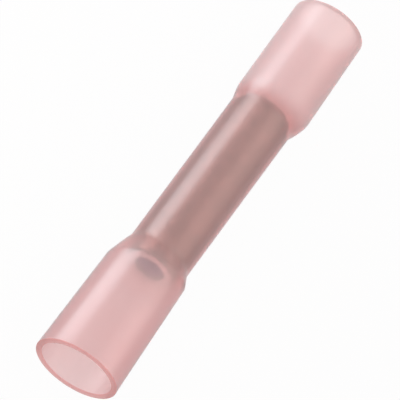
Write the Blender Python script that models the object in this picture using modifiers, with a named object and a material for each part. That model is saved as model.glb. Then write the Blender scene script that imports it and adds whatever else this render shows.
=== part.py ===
"""Heat-shrink butt splice: a translucent sleeve necked down onto a tinned crimp barrel.

Frame: the splice lies on its side with its length along X, +Z up and Z = 0 under its lowest line.
X = 0 is the middle of the overall length and Y = 0 is the barrel's axis. The near mouth is the one at -X.
"""

import bmesh
import bpy
from math import cos, hypot, pi, radians, sin, tan
from mathutils import Vector

# Driving dimensions in metres and degrees
sleeve_length = 0.0334
sleeve_wall = 0.00045
barrel_length = 0.0152
barrel_od = 0.0038
barrel_bore = 0.0019
shrink_gap = 0.00005
near_pocket = 0.00953

near_mouth_width = 0.00640
near_mouth_height = 0.00556
near_body_width = 0.00583
near_body_height = 0.00550
far_body_width = 0.00555
far_body_height = 0.00536
far_mouth_width = 0.00540
far_mouth_height = 0.00536

near_shoulder = 0.00158
far_shoulder = 0.00150
near_neck_inset = 0.00121
far_neck_inset = 0.00052
near_side_power = 1.15
near_crown_power = 0.75
far_power = 1.6

near_mouth_shift = -0.00005
near_body_shift = 0.00009
far_body_shift = -0.00013

near_cut_slant = 3.0
near_cut_lean = 1.2
far_cut_slant = 2.0
far_cut_lean = 3.8
near_body_slant = 10.9
near_neck_slant = -2.1
far_neck_slant = -0.5
far_body_slant = 4.0

barrel_edge = 0.00015
bore_lead_in = 0.00022
stop_height = 0.00050
stop_bulge_radius = 0.00065
stop_dent_depth = 0.00045
stop_dent_radius = 0.00075

# Fineness of the facets
sides = 48
body_steps = 4
shoulder_steps = 10
sharp_angle = 30.0
weld_distance = 0.000001

# Colours of the two materials, linear red, green and blue
pink = (0.74, 0.46, 0.46)
tin = (0.62, 0.60, 0.57)

# Worked out from the dimensions above
neck_od = barrel_od + 2 * (shrink_gap + sleeve_wall)
flat_share = cos(pi / sides)
tallest = max(near_mouth_height, near_body_height, neck_od, far_body_height, far_mouth_height)
axis_z = tallest / 2 * flat_share
trim = tallest / 6
knife_size = 2 * tallest
near_tip_aside = near_mouth_width / 2 * tan(radians(near_cut_slant))
near_tip_below = near_mouth_height / 2 * tan(radians(near_cut_lean))
far_tip_aside = far_mouth_width / 2 * tan(radians(far_cut_slant))
far_tip_above = far_mouth_height / 2 * tan(radians(far_cut_lean))
near_mouth_x = -sleeve_length / 2 + hypot(near_tip_aside, near_tip_below)
far_mouth_x = sleeve_length / 2 - hypot(far_tip_aside, far_tip_above)
barrel_near_x = near_mouth_x + near_pocket
barrel_far_x = barrel_near_x + barrel_length
neck_near_x = barrel_near_x + near_neck_inset
neck_far_x = barrel_far_x - far_neck_inset
near_body_x = neck_near_x - near_shoulder
far_body_x = neck_far_x + far_shoulder


def clear_scene():
    for old in list(bpy.data.objects):
        bpy.data.objects.remove(old, do_unlink=True)


def new_collection(name):
    made = bpy.data.collections.new(name)
    bpy.context.scene.collection.children.link(made)
    return made


def new_material(name, colour, roughness, metallic, transmission):
    made = bpy.data.materials.new(name)
    made.use_nodes = True
    shader = made.node_tree.nodes["Principled BSDF"]
    shader.inputs["Base Color"].default_value = (*colour, 1.0)
    shader.inputs["Roughness"].default_value = roughness
    shader.inputs["Metallic"].default_value = metallic
    shader.inputs["Transmission Weight"].default_value = transmission
    return made


def add_object(name, mesh, collection):
    made = bpy.data.objects.new(name, mesh)
    collection.objects.link(made)
    return made


def add_cutter(name, mesh, collection):
    cutter = add_object(name, mesh, collection)
    cutter.hide_render = True
    cutter.display_type = "WIRE"
    return cutter


def add_boolean(target, cutter, operation):
    step = target.modifiers.new(cutter.name, "BOOLEAN")
    step.operation = operation
    step.solver = "EXACT"
    step.object = cutter


def shade_round(mesh):
    mesh.shade_smooth()
    mesh.set_sharp_from_angle(angle=radians(sharp_angle))


class Section:
    """One oval cross-section of the sleeve's outside, which may be out of square about Z."""

    def __init__(self, x, width, height, shift, slant):
        self.x = x
        self.width = width
        self.height = height
        self.shift = shift
        self.slope = tan(radians(slant))

    def toward(self, other, share, swell, crown):
        """The section a share of the way to another, its width a swell and its height a crown of the way."""
        made = Section(0.0, 0.0, 0.0, 0.0, 0.0)
        made.x = self.x + (other.x - self.x) * share
        made.slope = self.slope + (other.slope - self.slope) * share
        made.width = self.width + (other.width - self.width) * swell
        made.height = self.height + (other.height - self.height) * crown
        made.shift = self.shift + (other.shift - self.shift) * swell
        return made

    def ring(self):
        """Points round the section, counter-clockwise seen from +X, with a flat side straight down."""
        points = []
        for i in range(sides):
            turn = 2 * pi * (i + 0.5) / sides
            y = self.width / 2 * cos(turn)
            z = self.height / 2 * sin(turn)
            points.append(Vector((self.x - y * self.slope, self.shift + y, axis_z + z)))
        return points


def sleeve_sections():
    """The tube from end to end: oval mouth, body, shoulder, round neck on the barrel, and back."""
    near_mouth = Section(near_mouth_x, near_mouth_width, near_mouth_height, near_mouth_shift, 0.0)
    near_body = Section(near_body_x, near_body_width, near_body_height, near_body_shift, near_body_slant)
    neck_near = Section(neck_near_x, neck_od, neck_od, 0.0, near_neck_slant)
    neck_far = Section(neck_far_x, neck_od, neck_od, 0.0, far_neck_slant)
    far_body = Section(far_body_x, far_body_width, far_body_height, far_body_shift, far_body_slant)
    far_mouth = Section(far_mouth_x, far_mouth_width, far_mouth_height, 0.0, 0.0)

    near_end = Section(near_mouth_x - trim, near_mouth_width, near_mouth_height, near_mouth_shift, 0.0)
    far_end = Section(far_mouth_x + trim, far_mouth_width, far_mouth_height, 0.0, 0.0)
    made = [near_end]
    for i in range(body_steps):
        share = i / body_steps
        made.append(near_mouth.toward(near_body, share, share, share))
    for i in range(shoulder_steps):
        share = i / shoulder_steps
        made.append(near_body.toward(neck_near, share, share**near_side_power, share**near_crown_power))
    made.append(neck_near)
    for i in range(shoulder_steps):
        share = i / shoulder_steps
        rise = 1 - (1 - share) ** far_power
        made.append(neck_far.toward(far_body, share, rise, rise))
    for i in range(body_steps + 1):
        share = i / body_steps
        made.append(far_body.toward(far_mouth, share, share, share))
    made.append(far_end)
    return made


def loft(name, sections):
    """An open skin through the sections, with its faces pointing away from the axis."""
    bm = bmesh.new()
    rings = [[bm.verts.new(point) for point in section.ring()] for section in sections]
    for ring, following in zip(rings, rings[1:]):
        for i in range(sides):
            j = (i + 1) % sides
            bm.faces.new((ring[i], ring[j], following[j], following[i]))
    mesh = bpy.data.meshes.new(name)
    bm.to_mesh(mesh)
    bm.free()
    return mesh


def knife(name, x, slant, lean, facing):
    """A block that trims the tube at x, out of square sideways by the slant and upwards by the lean."""
    bm = bmesh.new()
    bmesh.ops.create_cube(bm, size=knife_size)
    bmesh.ops.translate(bm, verts=bm.verts, vec=(facing * knife_size / 2, 0.0, 0.0))
    square = Vector((1.0, 0.0, 0.0))
    turn = square.rotation_difference(Vector((1.0, tan(radians(slant)), -tan(radians(lean)))))
    bmesh.ops.rotate(bm, verts=bm.verts, matrix=turn.to_matrix())
    bmesh.ops.translate(bm, verts=bm.verts, vec=(x, 0.0, axis_z))
    mesh = bpy.data.meshes.new(name)
    bm.to_mesh(mesh)
    bm.free()
    return mesh


def build_sleeve(parts, cutters):
    """Extruded heat-shrink tube: one wall thickness throughout, cut off with a knife at both mouths."""
    mesh = loft("shrink_sleeve", sleeve_sections())
    shade_round(mesh)
    sleeve = add_object("shrink_sleeve", mesh, parts)
    wall = sleeve.modifiers.new("wall", "SOLIDIFY")
    wall.thickness = sleeve_wall
    wall.offset = -1.0
    wall.use_even_offset = True
    near_knife = knife("near_knife", near_mouth_x, near_cut_slant, near_cut_lean, -1)
    far_knife = knife("far_knife", far_mouth_x, far_cut_slant, far_cut_lean, 1)
    for mesh in (near_knife, far_knife):
        add_boolean(sleeve, add_cutter(mesh.name, mesh, cutters), "DIFFERENCE")
    sleeve.data.materials.append(new_material("pink_polyolefin", pink, 0.32, 0.0, 0.6))


def barrel_profile():
    """Half section of the crimp barrel in the XZ plane of its own axis, from the outside round."""
    outer = barrel_od / 2
    inner = barrel_bore / 2
    top = barrel_length / 2
    return [
        (outer, top - barrel_edge),
        (outer, -top + barrel_edge),
        (outer - barrel_edge, -top),
        (inner + bore_lead_in, -top),
        (inner, -top + bore_lead_in),
        (inner, top - bore_lead_in),
        (inner + bore_lead_in, top),
        (outer - barrel_edge, top),
    ]


def ball(name, radius, drop):
    """A ball below the barrel's axis at mid-length, for the stop's dent and its bulge."""
    bm = bmesh.new()
    bmesh.ops.create_uvsphere(bm, u_segments=sides // 2, v_segments=sides // 4, radius=radius)
    bmesh.ops.translate(bm, verts=bm.verts, vec=((barrel_near_x + barrel_far_x) / 2, 0.0, axis_z - drop))
    mesh = bpy.data.meshes.new(name)
    bm.to_mesh(mesh)
    bm.free()
    return mesh


def build_barrel(parts, cutters):
    """Tinned copper tube with broken edges, and a wire stop punched into its underside at mid-length."""
    bm = bmesh.new()
    loop = [bm.verts.new((radius, 0.0, z)) for radius, z in barrel_profile()]
    for i, vert in enumerate(loop):
        bm.edges.new((vert, loop[(i + 1) % len(loop)]))
    mesh = bpy.data.meshes.new("crimp_barrel")
    bm.to_mesh(mesh)
    bm.free()
    barrel = add_object("crimp_barrel", mesh, parts)
    barrel.location = ((barrel_near_x + barrel_far_x) / 2, 0.0, axis_z)
    barrel.rotation_euler = (0.0, pi / 2, 0.0)
    turned = barrel.modifiers.new("turned", "SCREW")
    turned.axis = "Z"
    turned.angle = 2 * pi
    turned.steps = sides
    turned.render_steps = sides
    turned.use_merge_vertices = True
    turned.merge_threshold = weld_distance
    turned.use_smooth_shade = True

    bulge_drop = barrel_bore / 2 - stop_height + stop_bulge_radius
    dent_drop = barrel_od / 2 - stop_dent_depth + stop_dent_radius
    bulge = ball("stop_bulge", stop_bulge_radius, bulge_drop)
    dent = ball("stop_dent", stop_dent_radius, dent_drop)
    add_boolean(barrel, add_cutter("stop_bulge", bulge, cutters), "UNION")
    add_boolean(barrel, add_cutter("stop_dent", dent, cutters), "DIFFERENCE")
    barrel.data.materials.append(new_material("tinned_copper", tin, 0.38, 1.0, 0.0))


clear_scene()
parts = new_collection("butt_splice_connector")
cutters = new_collection("cutters")
build_barrel(parts, cutters)
build_sleeve(parts, cutters)
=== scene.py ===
import bmesh
import bpy
from math import cos, hypot, pi, radians, sin, tan
from mathutils import Matrix, Vector, noise


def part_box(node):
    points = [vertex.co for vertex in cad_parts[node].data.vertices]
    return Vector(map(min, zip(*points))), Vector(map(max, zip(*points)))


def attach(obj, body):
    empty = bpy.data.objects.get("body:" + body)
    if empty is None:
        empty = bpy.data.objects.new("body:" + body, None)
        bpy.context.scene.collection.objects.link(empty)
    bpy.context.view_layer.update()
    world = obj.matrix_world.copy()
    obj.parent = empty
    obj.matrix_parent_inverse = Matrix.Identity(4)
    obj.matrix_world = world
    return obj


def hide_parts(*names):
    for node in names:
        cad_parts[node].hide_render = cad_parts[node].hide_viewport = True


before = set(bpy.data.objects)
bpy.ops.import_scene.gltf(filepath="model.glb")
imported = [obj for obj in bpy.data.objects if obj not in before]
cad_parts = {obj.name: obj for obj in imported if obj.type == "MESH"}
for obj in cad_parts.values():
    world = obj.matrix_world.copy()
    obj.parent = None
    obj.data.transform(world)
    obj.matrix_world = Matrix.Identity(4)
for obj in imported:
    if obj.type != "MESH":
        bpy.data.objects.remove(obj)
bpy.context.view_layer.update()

# Crimp barrel. A short length of copper tube, tin plated, that is crushed onto the two wires.
# It is cut off in a lathe, its edges are broken, and a punch dents its underside at mid-length
# so that neither wire can be pushed in too far.
mm = 0.001
barrel_low, barrel_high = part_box("crimp_barrel")
barrel_length = barrel_high.x - barrel_low.x
barrel_radius = (barrel_high.z - barrel_low.z) / 2
axis_z = (barrel_high.z + barrel_low.z) / 2
barrel_middle = (barrel_high.x + barrel_low.x) / 2
bore_radius = 0.95 * mm
bore_lead_in = 0.22 * mm
barrel_edge = 0.15 * mm
edge_round = 0.03 * mm
stop_height = 0.50 * mm
dent_depth = 0.45 * mm
dent_radius = 0.75 * mm
bulge_radius = 0.65 * mm
around_barrel = 144
cuts_along_barrel = 160
tin_colour = "B8AEA6"
tin_shadow = "9C9189"
# Painted light: the bore's colours are far lighter than the tin, to stand in for the light that reaches the
# bore through the sleeve.
bore_painted_light_colour = "F2D6E8"
bore_painted_light_dark_grain = "D6BCD2"
# Painted light: the cut ends are near white, to stand in for the light that shines through the sleeve onto
# them.
end_painted_light_colour = "FAF0EE"
crystal_size = 0.3 * mm
draw_line_width = 0.08 * mm
draw_line_length = 0.2667 * mm
bloom_size = 1.5 * mm


def linear(colour):
    """A hex colour as the eye sees it, turned into the linear values that a shader takes."""
    values = [int(colour[i : i + 2], 16) / 255 for i in (0, 2, 4)]
    turned = [v / 12.92 if v <= 0.04045 else ((v + 0.055) / 1.055) ** 2.4 for v in values]
    return (*turned, 1.0)


def new_finish(name):
    """A new material, its node tree and the shader in it."""
    finish = bpy.data.materials.new(name)
    finish.use_nodes = True
    return finish, finish.node_tree, finish.node_tree.nodes["Principled BSDF"]


def add_node(tree, kind, settings=None, sockets=None, links=None):
    """Adds a node, sets its options and its sockets, and joins other nodes' outputs to it.

    A socket goes by its name, or by its number where the node has two of that name.
    """
    made = tree.nodes.new(kind)
    for name, value in (settings or {}).items():
        setattr(made, name, value)
    for name, value in (sockets or {}).items():
        made.inputs[name].default_value = value
    for name, source in (links or {}).items():
        tree.links.new(source, made.inputs[name])
    return made


def set_stops(ramp, stops):
    """Gives a colour ramp its stops, each a place and a linear colour."""
    points = ramp.color_ramp.elements
    while len(points) < len(stops):
        points.new(1.0)
    for point, (place, colour) in zip(points, stops):
        point.position = place
        point.color = colour


def finish_piece(name, bm, finishes, node):
    """Makes a smooth piece from its mesh and its finishes, in place of a node of the frame."""
    mesh = bpy.data.meshes.new(name)
    bm.to_mesh(mesh)
    bm.free()
    mesh.shade_smooth()
    for finish in finishes:
        mesh.materials.append(finish)
    piece = bpy.data.objects.new(name, mesh)
    bpy.context.scene.collection.objects.link(piece)
    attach(piece, "root")
    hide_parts(node)


def punched(place, radius, depth_scale):
    """How far a point of the wall is pushed up by the punch that makes the wire stop."""
    away = hypot(place.x - barrel_middle, place.y)
    return depth_scale * max(0.0, 1 - (away / radius) ** 2) ** 1.5 if place.z < axis_z else 0.0


tube = bmesh.new()
half = barrel_length / 2
outline = [
    (-half, bore_radius + bore_lead_in),
    (-half, barrel_radius - barrel_edge),
    (-half + barrel_edge, barrel_radius),
    (half - barrel_edge, barrel_radius),
    (half, barrel_radius - barrel_edge),
    (half, bore_radius + bore_lead_in),
    (half - bore_lead_in, bore_radius),
    (-half + bore_lead_in, bore_radius),
]
corners = [tube.verts.new((barrel_middle + x, 0.0, axis_z + r)) for x, r in outline]
for i, corner in enumerate(corners):
    tube.edges.new((corner, corners[(i + 1) % len(corners)]))
bmesh.ops.bevel(
    tube,
    geom=corners,
    offset=edge_round,
    segments=3,
    profile=0.5,
    affect="VERTICES",
    material=-1,
)
long_edges = [edge for edge in tube.edges if edge.calc_length() > half]
bmesh.ops.subdivide_edges(tube, edges=long_edges, cuts=cuts_along_barrel, use_grid_fill=False)
bmesh.ops.spin(
    tube,
    geom=tube.verts[:] + tube.edges[:],
    cent=(0.0, 0.0, axis_z),
    axis=(1.0, 0.0, 0.0),
    angle=2 * pi,
    steps=around_barrel,
    use_merge=True,
)
bmesh.ops.remove_doubles(tube, verts=tube.verts, dist=1e-7)
bmesh.ops.recalc_face_normals(tube, faces=tube.faces)

# The dull finish of the bore runs a third of the way up its lead-in, and the cut ends have their own.
for face in tube.faces:
    middle = face.calc_center_median()
    from_axis = hypot(middle.y, middle.z - axis_z)
    in_bore = from_axis < bore_radius + bore_lead_in / 3
    on_end = abs(middle.x - barrel_middle) > half - edge_round
    face.material_index = 1 if in_bore else 2 if on_end else 0
for vert in tube.verts:
    from_axis = hypot(vert.co.y, vert.co.z - axis_z)
    if from_axis < (bore_radius + barrel_radius) / 2:
        vert.co.z += punched(vert.co, bulge_radius + stop_height / 2, stop_height)
    else:
        vert.co.z += punched(vert.co, dent_radius + dent_depth / 2, dent_depth)

# Tin plate, dip coated over drawn copper: a soft grey metal shine that is drawn out lengthwise by the
# lines of the die, with a duller bloom in patches. The lines are coarser here than real ones, to show.
tin, tree, shader = new_finish("tin_plate_on_drawn_copper")
place = add_node(tree, "ShaderNodeTexCoord").outputs["Object"]
drawn = add_node(
    tree,
    "ShaderNodeMapping",
    sockets={"Scale": (1 / draw_line_length, 1 / draw_line_width, 1 / draw_line_width)},
    links={"Vector": place},
)
lines = add_node(
    tree,
    "ShaderNodeTexNoise",
    sockets={"Scale": 1.0, "Detail": 5.0, "Roughness": 0.6},
    links={"Vector": drawn.outputs["Vector"]},
)
bloom = add_node(
    tree,
    "ShaderNodeTexNoise",
    sockets={"Scale": 1 / bloom_size, "Detail": 8.0, "Roughness": 0.75},
    links={"Vector": place},
)
shade = add_node(tree, "ShaderNodeValToRGB", links={"Fac": bloom.outputs["Fac"]})
set_stops(shade, [(0.32, linear(tin_shadow)), (0.66, linear(tin_colour))])
gloss = add_node(
    tree,
    "ShaderNodeMapRange",
    sockets={"From Min": 0.3, "From Max": 0.7, "To Min": 0.36, "To Max": 0.52},
    links={"Value": lines.outputs["Fac"]},
)
relief = add_node(
    tree,
    "ShaderNodeBump",
    sockets={"Strength": 1.0, "Distance": 0.03 * mm},
    links={"Height": lines.outputs["Fac"]},
)
tree.links.new(shade.outputs["Color"], shader.inputs["Base Color"])
tree.links.new(gloss.outputs["Result"], shader.inputs["Roughness"])
tree.links.new(relief.outputs["Normal"], shader.inputs["Normal"])
shader.inputs["Metallic"].default_value = 1.0

# Inside the bore the tin is dull, with its crystals showing as a fine grain. Its pale lavender colour is
# painted light: it is much lighter than the tin outside, to stand in for the light that comes through the
# sleeve into the bore.
matt_tin, tree, shader = new_finish("dull_tin_in_the_bore_painted_light")
place = add_node(tree, "ShaderNodeTexCoord").outputs["Object"]
grain = add_node(
    tree,
    "ShaderNodeTexNoise",
    sockets={"Scale": 1 / crystal_size, "Detail": 2.0},
    links={"Vector": place},
)
shade = add_node(tree, "ShaderNodeValToRGB", links={"Fac": grain.outputs["Fac"]})
set_stops(shade, [(0.30, linear(bore_painted_light_dark_grain)), (0.70, linear(bore_painted_light_colour))])
tree.links.new(shade.outputs["Color"], shader.inputs["Base Color"])
shader.inputs["Metallic"].default_value = 0.3
shader.inputs["Roughness"].default_value = 0.7

# The lathe leaves both end faces freshly cut. Their near-white colour is painted light: it stands in for
# the light that shines through the sleeve onto them, and makes them as bright as the sleeve around them.
cut_tin, tree, shader = new_finish("tin_on_the_cut_ends_painted_light")
shader.inputs["Base Color"].default_value = linear(end_painted_light_colour)
shader.inputs["Metallic"].default_value = 0.2
shader.inputs["Roughness"].default_value = 0.6
finish_piece("tinned_barrel", tube, [tin, matt_tin, cut_tin], "crimp_barrel")

# Shrink sleeve. Extruded pink polyolefin tube, cut off with a knife and heated until it grips the barrel.
# Both ends stay open and slightly oval. It is see-through but milky, as a thin polyolefin wall is.
sleeve_low, sleeve_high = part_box("shrink_sleeve")
sleeve_wall = 0.45 * mm
flat_sides = 48
inside_flats = cos(pi / flat_sides)
near_mouth_width = 6.39 * mm
near_mouth_height = 5.56 * mm
near_body_width = 5.83 * mm
near_body_height = 5.50 * mm
far_body_width = 5.55 * mm
far_body_height = 5.36 * mm
far_mouth_width = 5.40 * mm
far_mouth_height = 5.36 * mm
neck_width = 4.80 * mm
near_mouth_shift = -0.046 * mm
near_body_shift = 0.09 * mm
far_body_shift = -0.13 * mm
near_shoulder = 1.58 * mm
far_shoulder = 1.50 * mm
near_neck_inset = 1.21 * mm
far_neck_inset = 0.52 * mm
near_cut_slant = tan(radians(3.0))
near_cut_lean = tan(radians(1.2))
far_cut_slant = tan(radians(2.0))
far_cut_lean = tan(radians(3.8))
near_body_slant = tan(radians(10.9))
near_neck_slant = tan(radians(-2.1))
far_neck_slant = tan(radians(-0.5))
far_body_slant = tan(radians(4.0))
near_side_power = 1.15
near_crown_power = 0.75
far_power = 1.6
shrink_gap = 0.05 * mm
bond_depth = 0.01 * mm
rim_round = 0.07 * mm
rim_steps = 4
around_sleeve = 160
loop_gap = 0.22 * mm
waviness = 0.004 * mm
inward_share = 0.6
wave_length = 4.0 * mm
pink_colour = "FCF2F1"
pink_cloud = "FCF5F4"
neck_pink = "F6D9D5"
far_pink = "F8E6E5"
rim_pink = "EAA8A5"
rim_depth = 0.10 * mm
near_clear_share = 0.85
far_clear_share = 0.64
rim_clear_share = 0.3
near_haze = 0.30
far_haze = 0.55
dye_colour = "E27678"
dye_density = 0.8 / mm
extrusion_line_width = 0.16 * mm
extrusion_line_length = 3.2 * mm
cloud_size = 2.2 * mm

near_tip = hypot(near_mouth_width / 2 * near_cut_slant, near_mouth_height / 2 * near_cut_lean)
far_tip = hypot(far_mouth_width / 2 * far_cut_slant, far_mouth_height / 2 * far_cut_lean)
near_mouth_x = sleeve_low.x + near_tip
far_mouth_x = sleeve_high.x - far_tip
neck_near_x = barrel_low.x + near_neck_inset
neck_far_x = barrel_high.x - far_neck_inset
near_body_x = neck_near_x - near_shoulder
far_body_x = neck_far_x + far_shoulder

# X, width, height, sideways shift, slant and lean of the tube where its form changes.
near_mouth = (
    near_mouth_x,
    near_mouth_width,
    near_mouth_height,
    near_mouth_shift,
    near_cut_slant,
    near_cut_lean,
)
near_body = (near_body_x, near_body_width, near_body_height, near_body_shift, near_body_slant, 0.0)
neck_near = (neck_near_x, neck_width, neck_width, 0.0, near_neck_slant, 0.0)
neck_far = (neck_far_x, neck_width, neck_width, 0.0, far_neck_slant, 0.0)
far_body = (far_body_x, far_body_width, far_body_height, far_body_shift, far_body_slant, 0.0)
far_mouth = (far_mouth_x, far_mouth_width, far_mouth_height, 0.0, far_cut_slant, far_cut_lean)


def stretch(start, end, swell, crown):
    """The tube's ovals from one place up to the next, whose width and height each follow a curve."""
    count = max(2, round((end[0] - start[0]) / loop_gap))
    made = []
    for i in range(count):
        share = i / count
        side = swell(share)
        parts = (share, side, crown(share), side, share, share)
        made.append(tuple(a + (b - a) * part for a, b, part in zip(start, end, parts)))
    return made


def straight(share):
    """A size that changes evenly along the tube."""
    return share


def near_side(share):
    """How far the near shoulder's sides have come in."""
    return share**near_side_power


def near_crown(share):
    """How far the near shoulder's top and bottom have come in."""
    return share**near_crown_power


def far_flare(share):
    """How far the far shoulder has opened out."""
    return 1 - (1 - share) ** far_power


ovals = stretch(near_mouth, near_body, straight, straight)
ovals += stretch(near_body, neck_near, near_side, near_crown)
ovals += stretch(neck_near, neck_far, straight, straight)
ovals += stretch(neck_far, far_body, far_flare, far_flare)
ovals += stretch(far_body, far_mouth, straight, straight)
ovals.append(far_mouth)


def oval_place(oval, inset, along=0.0):
    """Takes a flat circle of diameter 1 to an oval of the tube, set in from its outer face and along it."""
    x, width, height, shift, slant, lean = oval
    wide = width * inside_flats - 2 * inset
    tall = height * inside_flats - 2 * inset
    return Matrix(
        (
            (-slant * wide, lean * tall, 1.0, x + along),
            (wide, 0.0, 0.0, shift),
            (0.0, tall, 0.0, axis_z),
            (0.0, 0.0, 0.0, 1.0),
        )
    )


def wall_at(oval):
    """The wall's thickness, which takes in the glue line where the neck grips the barrel."""
    on_barrel = barrel_low.x + barrel_edge < oval[0] < barrel_high.x - barrel_edge
    to_barrel = oval[1] * inside_flats / 2 - barrel_radius + bond_depth
    return to_barrel if on_barrel and to_barrel < sleeve_wall + shrink_gap + bond_depth else sleeve_wall


def cut_face(tree, place, oval, facing):
    """How near a point is to the knife's cut at a mouth: 1 on the cut, 0 a rim's depth away from it."""
    x, _, _, shift, slant, lean = oval
    out = (facing, facing * slant, -facing * lean)
    level = facing * (x + slant * shift - lean * axis_z)
    depth = add_node(
        tree,
        "ShaderNodeVectorMath",
        settings={"operation": "DOT_PRODUCT"},
        sockets={1: out},
        links={0: place},
    )
    return add_node(
        tree,
        "ShaderNodeMapRange",
        sockets={"From Min": level - rim_depth, "From Max": level - rim_round / 2},
        links={"Value": depth.outputs["Value"]},
    ).outputs["Result"]


rim_turns = [pi / 2 * i / rim_steps for i in range(rim_steps + 1)]
lip = [(rim_round * (1 - cos(turn)), rim_round * (1 - sin(turn))) for turn in rim_turns]
lip += [(sleeve_wall - inset, along) for inset, along in reversed(lip)]
walk = [oval_place(oval, 0.0) for oval in ovals[1:-1]]
walk += [oval_place(ovals[-1], inset, -along) for inset, along in lip]
walk += [oval_place(oval, wall_at(oval)) for oval in reversed(ovals[1:-1])]
walk += [oval_place(ovals[0], inset, along) for inset, along in reversed(lip)]
walk.append(walk[0])

skin = bmesh.new()
verts = bmesh.ops.create_circle(skin, cap_ends=False, segments=around_sleeve, radius=0.5)["verts"]
bmesh.ops.transform(skin, matrix=walk[0], verts=verts)
edges = skin.edges[:]
for here, following in zip(walk, walk[1:]):
    grown = bmesh.ops.extrude_edge_only(skin, edges=edges)["geom"]
    verts = [item for item in grown if isinstance(item, bmesh.types.BMVert)]
    edges = [item for item in grown if isinstance(item, bmesh.types.BMEdge)]
    bmesh.ops.transform(skin, matrix=following @ here.inverted(), verts=verts)
bmesh.ops.remove_doubles(skin, verts=skin.verts, dist=1e-7)
bmesh.ops.recalc_face_normals(skin, faces=skin.faces)

# Heat leaves the skin faintly wavy. The waves are set inward, so that it stays inside the frame's tube.
for vert in skin.verts:
    swell = noise.noise(vert.co / wave_length) - inward_share
    across = Vector((0.0, vert.co.y, vert.co.z - axis_z)).normalized()
    vert.co += across * swell * waviness

# Polyolefin, dyed pink, extruded and shrunk: its milk blurs what is behind it, and its skin has a soft
# gloss with faint lines along the tube. It is redder on the barrel, reddest on the knife's cuts, and
# hazier at the far end. The index of its body is set low, so that the barrel behind it keeps its outline,
# and the coat gives back the shine of the skin.
pink, tree, shader = new_finish("milky_pink_polyolefin")
place = add_node(tree, "ShaderNodeTexCoord").outputs["Object"]
clouds = add_node(
    tree,
    "ShaderNodeTexNoise",
    sockets={"Scale": 1 / cloud_size, "Detail": 4.0, "Roughness": 0.5},
    links={"Vector": place},
)
milk = add_node(tree, "ShaderNodeValToRGB", links={"Fac": clouds.outputs["Fac"]})
set_stops(milk, [(0.35, linear(pink_colour)), (0.70, linear(pink_cloud))])
centred = add_node(
    tree,
    "ShaderNodeMapping",
    sockets={"Location": (-barrel_middle, 0.0, 0.0)},
    links={"Vector": place},
)
along = add_node(tree, "ShaderNodeSeparateXYZ", links={"Vector": centred.outputs["Vector"]})
off_middle = add_node(
    tree, "ShaderNodeMath", settings={"operation": "ABSOLUTE"}, links={0: along.outputs["X"]}
)
off_neck = add_node(
    tree,
    "ShaderNodeMapRange",
    settings={"interpolation_type": "SMOOTHSTEP"},
    sockets={
        "From Min": barrel_length / 2 - near_neck_inset,
        "From Max": barrel_length / 2 + far_shoulder,
    },
    links={"Value": off_middle.outputs["Value"]},
)
body_tint = add_node(
    tree,
    "ShaderNodeMixRGB",
    sockets={"Color1": linear(neck_pink)},
    links={"Fac": off_neck.outputs["Result"], "Color2": milk.outputs["Color"]},
)
at_far_end = add_node(
    tree,
    "ShaderNodeMapRange",
    settings={"interpolation_type": "SMOOTHSTEP"},
    sockets={"From Min": barrel_length / 2 - far_neck_inset, "From Max": far_body_x - barrel_middle},
    links={"Value": along.outputs["X"]},
)
far_tint = add_node(
    tree,
    "ShaderNodeMixRGB",
    sockets={"Color2": linear(far_pink)},
    links={"Fac": at_far_end.outputs["Result"], "Color1": body_tint.outputs["Color"]},
)
pulled = add_node(
    tree,
    "ShaderNodeMapping",
    sockets={"Scale": (1 / extrusion_line_length, 1 / extrusion_line_width, 1 / extrusion_line_width)},
    links={"Vector": place},
)
lines = add_node(
    tree,
    "ShaderNodeTexNoise",
    sockets={"Scale": 1.0, "Detail": 4.0, "Roughness": 0.55},
    links={"Vector": pulled.outputs["Vector"]},
)
relief = add_node(
    tree,
    "ShaderNodeBump",
    sockets={"Strength": 0.08, "Distance": 0.01 * mm},
    links={"Height": lines.outputs["Fac"]},
)
rim = add_node(
    tree,
    "ShaderNodeMath",
    settings={"operation": "MAXIMUM"},
    links={0: cut_face(tree, place, near_mouth, -1), 1: cut_face(tree, place, far_mouth, 1)},
)
tint = add_node(
    tree,
    "ShaderNodeMixRGB",
    sockets={"Color2": linear(rim_pink)},
    links={"Fac": rim.outputs["Value"], "Color1": far_tint.outputs["Color"]},
)
body_clear = add_node(
    tree,
    "ShaderNodeMapRange",
    sockets={"To Min": near_clear_share, "To Max": far_clear_share},
    links={"Value": at_far_end.outputs["Result"]},
)
clear = add_node(
    tree,
    "ShaderNodeMapRange",
    sockets={"To Max": rim_clear_share},
    links={"Value": rim.outputs["Value"], "To Min": body_clear.outputs["Result"]},
)
haze = add_node(
    tree,
    "ShaderNodeMapRange",
    sockets={"To Min": near_haze, "To Max": far_haze},
    links={"Value": at_far_end.outputs["Result"]},
)
dye = add_node(
    tree,
    "ShaderNodeVolumeAbsorption",
    sockets={"Color": linear(dye_colour), "Density": dye_density},
)
tree.links.new(tint.outputs["Color"], shader.inputs["Base Color"])
tree.links.new(clear.outputs["Result"], shader.inputs["Transmission Weight"])
tree.links.new(haze.outputs["Result"], shader.inputs["Roughness"])
tree.links.new(relief.outputs["Normal"], shader.inputs["Normal"])
tree.links.new(dye.outputs["Volume"], tree.nodes["Material Output"].inputs["Volume"])
shader.inputs["IOR"].default_value = 1.12
shader.inputs["Coat Weight"].default_value = 1.0
shader.inputs["Coat Roughness"].default_value = 0.31
shader.inputs["Coat IOR"].default_value = 1.6
finish_piece("pink_sleeve", skin, [pink], "shrink_sleeve")
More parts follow.
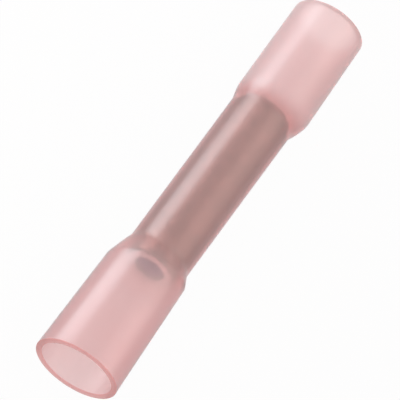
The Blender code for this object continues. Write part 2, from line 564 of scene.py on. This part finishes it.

# Floor and backdrop. A plain pale card, which the splice lies on, in a white room. Its colour has painted
# shade in it, darker on the side away from the key light. To the camera it glows nearly white, with a faint
# shadow left on it, and what shines or lets light through shows it white too.
floor_half = 0.60
floor_colour = "E6D6D6"
# Painted shade: the card's colour on the side away from the key light.
floor_painted_shade = "A49494"
painted_shade_reach = 30 * mm
floor_roughness = 0.9
glow_share = 0.97
board = bmesh.new()
bmesh.ops.create_grid(board, x_segments=1, y_segments=1, size=floor_half)
mesh = bpy.data.meshes.new("white_floor")
board.to_mesh(mesh)
board.free()
floor = bpy.data.objects.new("white_floor", mesh)
bpy.context.scene.collection.objects.link(floor)
card, tree, shader = new_finish("pale_card_painted_shade")
place = add_node(tree, "ShaderNodeTexCoord").outputs["Object"]
across = add_node(tree, "ShaderNodeSeparateXYZ", links={"Vector": place})
# Painted shade: the card's colour darkens toward the side away from the key light.
painted_shade_toward_key = add_node(
    tree,
    "ShaderNodeMapRange",
    sockets={"From Min": -painted_shade_reach, "From Max": painted_shade_reach},
    links={"Value": across.outputs["Y"]},
)
shade = add_node(
    tree,
    "ShaderNodeMixRGB",
    sockets={"Color1": linear(floor_painted_shade), "Color2": linear(floor_colour)},
    links={"Fac": painted_shade_toward_key.outputs["Result"]},
)
tree.links.new(shade.outputs["Color"], shader.inputs["Base Color"])
shader.inputs["Roughness"].default_value = floor_roughness
ray = add_node(tree, "ShaderNodeLightPath")
seen_or_through = add_node(
    tree,
    "ShaderNodeMath",
    settings={"operation": "MAXIMUM"},
    links={0: ray.outputs["Is Camera Ray"], 1: ray.outputs["Is Transmission Ray"]},
)
seen = add_node(
    tree,
    "ShaderNodeMath",
    settings={"operation": "MAXIMUM"},
    links={0: seen_or_through.outputs["Value"], 1: ray.outputs["Is Glossy Ray"]},
)
glow_part = add_node(
    tree,
    "ShaderNodeMath",
    settings={"operation": "MULTIPLY"},
    sockets={1: glow_share},
    links={0: seen.outputs["Value"]},
)
glow = add_node(tree, "ShaderNodeEmission", sockets={"Color": linear("FFFFFF"), "Strength": 1.0})
lit = add_node(
    tree,
    "ShaderNodeMixShader",
    links={"Fac": glow_part.outputs["Value"], 1: shader.outputs["BSDF"], 2: glow.outputs["Emission"]},
)
tree.links.new(lit.outputs["Shader"], tree.nodes["Material Output"].inputs["Surface"])
mesh.materials.append(card)

# Studio light. A small soft box stands close on the left of the splice, turned along it, with a broad
# weak one on the right, a faint one toward the far end and a bright white room around them.
subject = Vector((0.0, 0.0, axis_z))
room_strength = 0.95
backdrop_strength = 1.0


def soft_box(name, direction, distance, width, height, roll, power, colour):
    """A soft box that stands off in a direction and faces the splice, rolled about that direction."""
    light = bpy.data.lights.new(name, "AREA")
    light.color = linear(colour)[:3]
    light.shape = "RECTANGLE"
    light.size = width
    light.size_y = height
    light.energy = power
    box = bpy.data.objects.new(name, light)
    box.location = subject + Vector(direction).normalized() * distance
    box.rotation_euler = Vector(direction).to_track_quat("Z", "Y").to_euler()
    box.rotation_euler.rotate_axis("Z", roll)
    bpy.context.scene.collection.objects.link(box)


soft_box(
    "key_light",
    direction=(0.41, 0.83, 0.37),
    distance=76 * mm,
    width=30 * mm,
    height=56 * mm,
    roll=radians(23),
    power=0.026,
    colour="DCF0F4",
)
soft_box(
    "fill_light",
    direction=(0.47, -0.78, 0.40),
    distance=300 * mm,
    width=160 * mm,
    height=160 * mm,
    roll=0.0,
    power=0.065,
    colour="FFF4E8",
)
soft_box(
    "far_light",
    direction=(0.577, -0.465, 0.674),
    distance=86 * mm,
    width=40 * mm,
    height=40 * mm,
    roll=0.0,
    power=0.005,
    colour="FFF8F0",
)

room = bpy.data.worlds.new("white_room")
room.use_nodes = True
tree = room.node_tree
backdrop = tree.nodes["Background"]
backdrop.inputs["Color"].default_value = linear("FFFFFF")
ray = add_node(tree, "ShaderNodeLightPath")
strength = add_node(
    tree,
    "ShaderNodeMapRange",
    sockets={"To Min": room_strength, "To Max": backdrop_strength},
    links={"Value": ray.outputs["Is Camera Ray"]},
)
tree.links.new(strength.outputs["Result"], backdrop.inputs["Strength"])

# Light passes the milky wall several times before it gets out again, and needs more bounces than usual.
scene = bpy.context.scene
scene.world = room
scene.view_settings.view_transform = "Standard"
scene.cycles.max_bounces = 24
scene.cycles.transmission_bounces = 24
scene.cycles.diffuse_bounces = 16
scene.cycles.glossy_bounces = 16

# Camera. A long lens looks down on the splice from above its near mouth, and is rolled so that the
# splice runs from corner to corner of the picture.
camera_distance = 1.2
view_width = 27.45 * mm
view_tilt = radians(28.03)
view_roll = radians(36.52)
sensor_width = 36.0
aim = Vector((-0.319 * mm, 0.016 * mm, axis_z))
toward_camera = Vector((-sin(view_tilt), 0.0, cos(view_tilt)))
unrolled_right = Vector((0.0, -1.0, 0.0))
unrolled_up = toward_camera.cross(unrolled_right)
picture_right = unrolled_right * cos(view_roll) + unrolled_up * sin(view_roll)
picture_up = toward_camera.cross(picture_right)
turn = Matrix((picture_right, picture_up, toward_camera)).transposed().to_4x4()
lens = bpy.data.cameras.new("camera")
lens.sensor_width = sensor_width
lens.lens = sensor_width * camera_distance / view_width
camera = bpy.data.objects.new("camera", lens)
camera.matrix_world = Matrix.Translation(aim + toward_camera * camera_distance) @ turn
scene.collection.objects.link(camera)
scene.camera = camera
